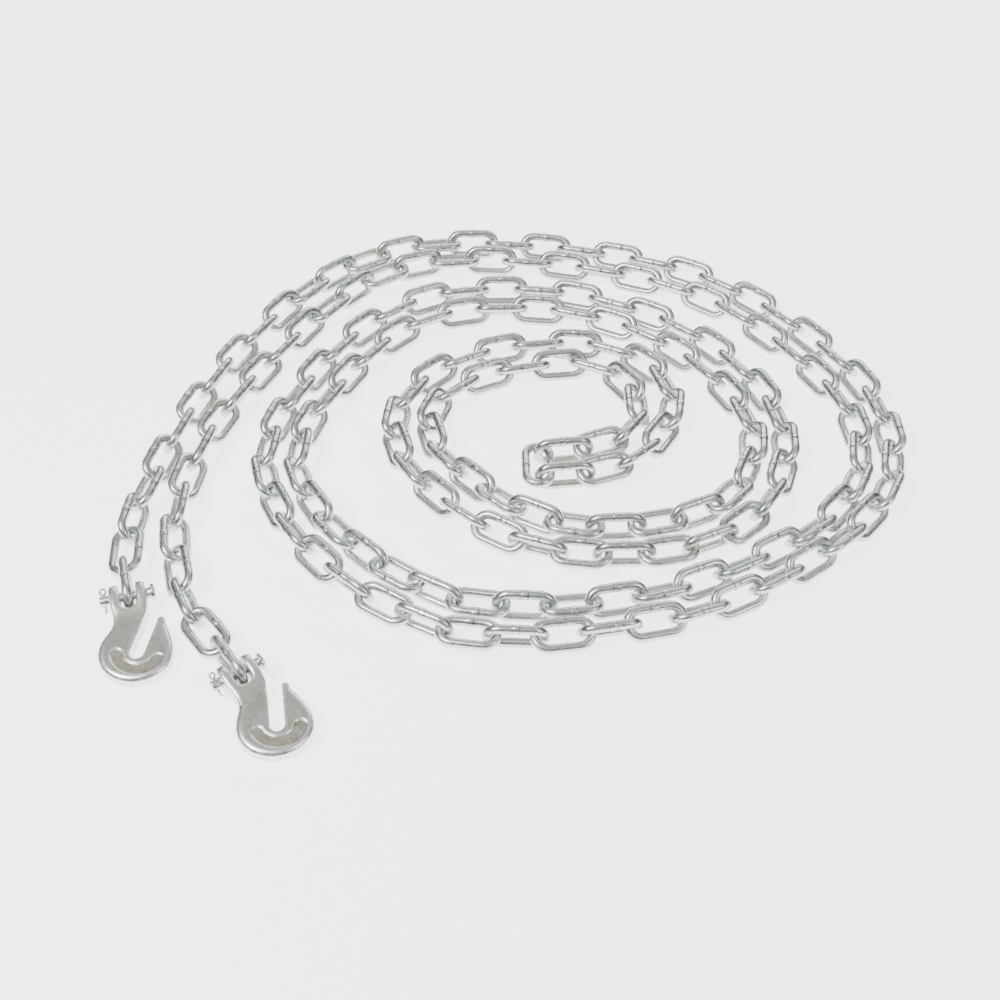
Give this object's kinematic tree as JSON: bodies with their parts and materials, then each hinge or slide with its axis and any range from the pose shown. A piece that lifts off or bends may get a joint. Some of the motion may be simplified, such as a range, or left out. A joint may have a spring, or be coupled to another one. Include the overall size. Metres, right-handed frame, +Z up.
{
  "type": "safety chain with grab hooks",
  "caption": "Zinc-plated welded steel chain with a clevis grab hook pinned to each end, laid down doubled in a flat spiral.",
  "frame": {"origin": "on the floor, under the middle of the laid-out chain", "axes": "+Z up; +Y away from the hooks towards the far side of the spiral; the hooks lie at the -X, -Y corner; +X to the right"},
  "size_m": [0.5673, 0.5373, 0.0247],
  "materials": {
    "zinc_chain": "bright zinc plate, satin",
    "zinc_hook": "zinc plate on a forging, faint yellow passivation",
    "zinc_pin": "bright zinc plate",
    "steel_cotter": "bright drawn wire"
  },
  "bodies": {
    "coil": {"outer_run_a": "zinc_chain", "outer_run_b": "zinc_chain"},
    "leads": {"lead_run_a": "zinc_chain", "lead_run_b": "zinc_chain"},
    "middle": {"middle_run_a": "zinc_chain", "middle_run_b": "zinc_chain"},
    "centre": {"inner_run_a": "zinc_chain", "inner_run_b": "zinc_chain", "fold_link": "zinc_chain"},
    "link_a7": {"link_a7": "zinc_chain"},
    "link_a6": {"link_a6": "zinc_chain"},
    "link_a5": {"link_a5": "zinc_chain"},
    "link_a4": {"link_a4": "zinc_chain"},
    "link_a3": {"link_a3": "zinc_chain"},
    "link_a2": {"link_a2": "zinc_chain"},
    "link_a1": {"link_a1": "zinc_chain"},
    "hook_a": {"hook_a": "zinc_hook"},
    "pin_a": {"clevis_pin_a": "zinc_pin", "cotter_pin_a": "steel_cotter"},
    "link_b7": {"link_b7": "zinc_chain"},
    "link_b6": {"link_b6": "zinc_chain"},
    "link_b5": {"link_b5": "zinc_chain"},
    "link_b4": {"link_b4": "zinc_chain"},
    "link_b3": {"link_b3": "zinc_chain"},
    "link_b2": {"link_b2": "zinc_chain"},
    "link_b1": {"link_b1": "zinc_chain"},
    "hook_b": {"hook_b": "zinc_hook"},
    "pin_b": {"clevis_pin_b": "zinc_pin", "cotter_pin_b": "steel_cotter"}
  },
  "joints": [
    {"name": "leads_lift", "type": "hinge", "parent": "coil", "child": "leads", "pos_m": [-0.13709, 0.21451, 0.01218], "axis": [0.6044, -0.7967, 0], "range_deg": [-15, 60]},
    {"name": "middle_lift", "type": "hinge", "parent": "coil", "child": "middle", "pos_m": [-0.05364, -0.15647, 0.01218], "axis": [0.2234, 0.9747, 0], "range_deg": [-20, 30]},
    {"name": "centre_lift", "type": "hinge", "parent": "middle", "child": "centre", "pos_m": [0.07684, -0.08979, 0.01218], "axis": [-0.2018, 0.9794, 0], "range_deg": [-20, 45]},
    {"name": "link_a7_swing", "type": "hinge", "parent": "leads", "child": "link_a7", "pos_m": [-0.24258, 0.06618, 0.01099], "axis": [0.4648, -0.1844, 0.866], "range_deg": [-45, 1]},
    {"name": "link_a6_swing", "type": "hinge", "parent": "link_a7", "child": "link_a6", "pos_m": [-0.25221, 0.0363, 0.01099], "axis": [-0.8225, 0.2711, 0.5], "range_deg": [-45, 4]},
    {"name": "link_a5_swing", "type": "hinge", "parent": "link_a6", "child": "link_a5", "pos_m": [-0.26008, 0.0059, 0.01099], "axis": [0.4832, -0.1284, 0.866], "range_deg": [-45, 1]},
    {"name": "link_a4_swing", "type": "hinge", "parent": "link_a5", "child": "link_a4", "pos_m": [-0.26734, -0.02464, 0.00999], "axis": [-0.7491, 0.1613, 0.6425], "range_deg": [-45, 4]},
    {"name": "link_a3_swing", "type": "hinge", "parent": "link_a4", "child": "link_a3", "pos_m": [-0.2728, -0.05556, 0.01126], "axis": [0.7574, -0.1166, 0.6424], "range_deg": [-45, 3]},
    {"name": "link_a2_swing", "type": "hinge", "parent": "link_a3", "child": "link_a2", "pos_m": [-0.2742, -0.08695, 0.01202], "axis": [-0.4674, 0.0493, 0.8827], "range_deg": [-45, 4]},
    {"name": "link_a1_swing", "type": "hinge", "parent": "link_a2", "child": "link_a1", "pos_m": [-0.27109, -0.11824, 0.01223], "axis": [0.9668, 0.0829, 0.2419], "range_deg": [-60, 60]},
    {"name": "hook_a_swing", "type": "hinge", "parent": "link_a1", "child": "hook_a", "pos_m": [-0.26403, -0.14129, 0.0122], "axis": [0.9637, 0.2669, 0], "range_deg": [-80, 80]},
    {"name": "pin_a_turn", "type": "hinge", "parent": "hook_a", "child": "pin_a", "pos_m": [-0.26403, -0.14129, 0.0122], "axis": [0.9637, 0.2669, 0], "continuous": true},
    {"name": "link_b7_swing", "type": "hinge", "parent": "leads", "child": "link_b7", "pos_m": [-0.24022, -0.01366, 0.01099], "axis": [0.4871, -0.1128, 0.866], "range_deg": [-2, 45]},
    {"name": "link_b6_swing", "type": "hinge", "parent": "link_b7", "child": "link_b6", "pos_m": [-0.24391, -0.04428, 0.01099], "axis": [-0.8586, 0.1135, 0.5], "range_deg": [-45, 45]},
    {"name": "link_b5_swing", "type": "hinge", "parent": "link_b6", "child": "link_b5", "pos_m": [-0.24383, -0.07514, 0.01099], "axis": [0.5, -0.006, 0.866], "range_deg": [-3, 45]},
    {"name": "link_b4_swing", "type": "hinge", "parent": "link_b5", "child": "link_b4", "pos_m": [-0.23839, -0.10553, 0.00998], "axis": [-0.7538, -0.138, 0.6425], "range_deg": [-12, 45]},
    {"name": "link_b3_swing", "type": "hinge", "parent": "link_b4", "child": "link_b3", "pos_m": [-0.22976, -0.13515, 0.01128], "axis": [0.7326, 0.2251, 0.6424], "range_deg": [-45, 45]},
    {"name": "link_b2_swing", "type": "hinge", "parent": "link_b3", "child": "link_b2", "pos_m": [-0.21596, -0.16279, 0.01203], "axis": [-0.4339, -0.1806, 0.8827], "range_deg": [-45, 45]},
    {"name": "link_b1_swing", "type": "hinge", "parent": "link_b2", "child": "link_b1", "pos_m": [-0.19673, -0.18701, 0.01223], "axis": [0.7733, 0.5861, 0.2419], "range_deg": [-60, 60]},
    {"name": "hook_b_swing", "type": "hinge", "parent": "link_b1", "child": "hook_b", "pos_m": [-0.18325, -0.20588, 0.0122], "axis": [0.8115, 0.5843, 0], "range_deg": [-80, 80]},
    {"name": "pin_b_turn", "type": "hinge", "parent": "hook_b", "child": "pin_b", "pos_m": [-0.18325, -0.20588, 0.0122], "axis": [0.8115, 0.5843, 0], "continuous": true}
  ]
}
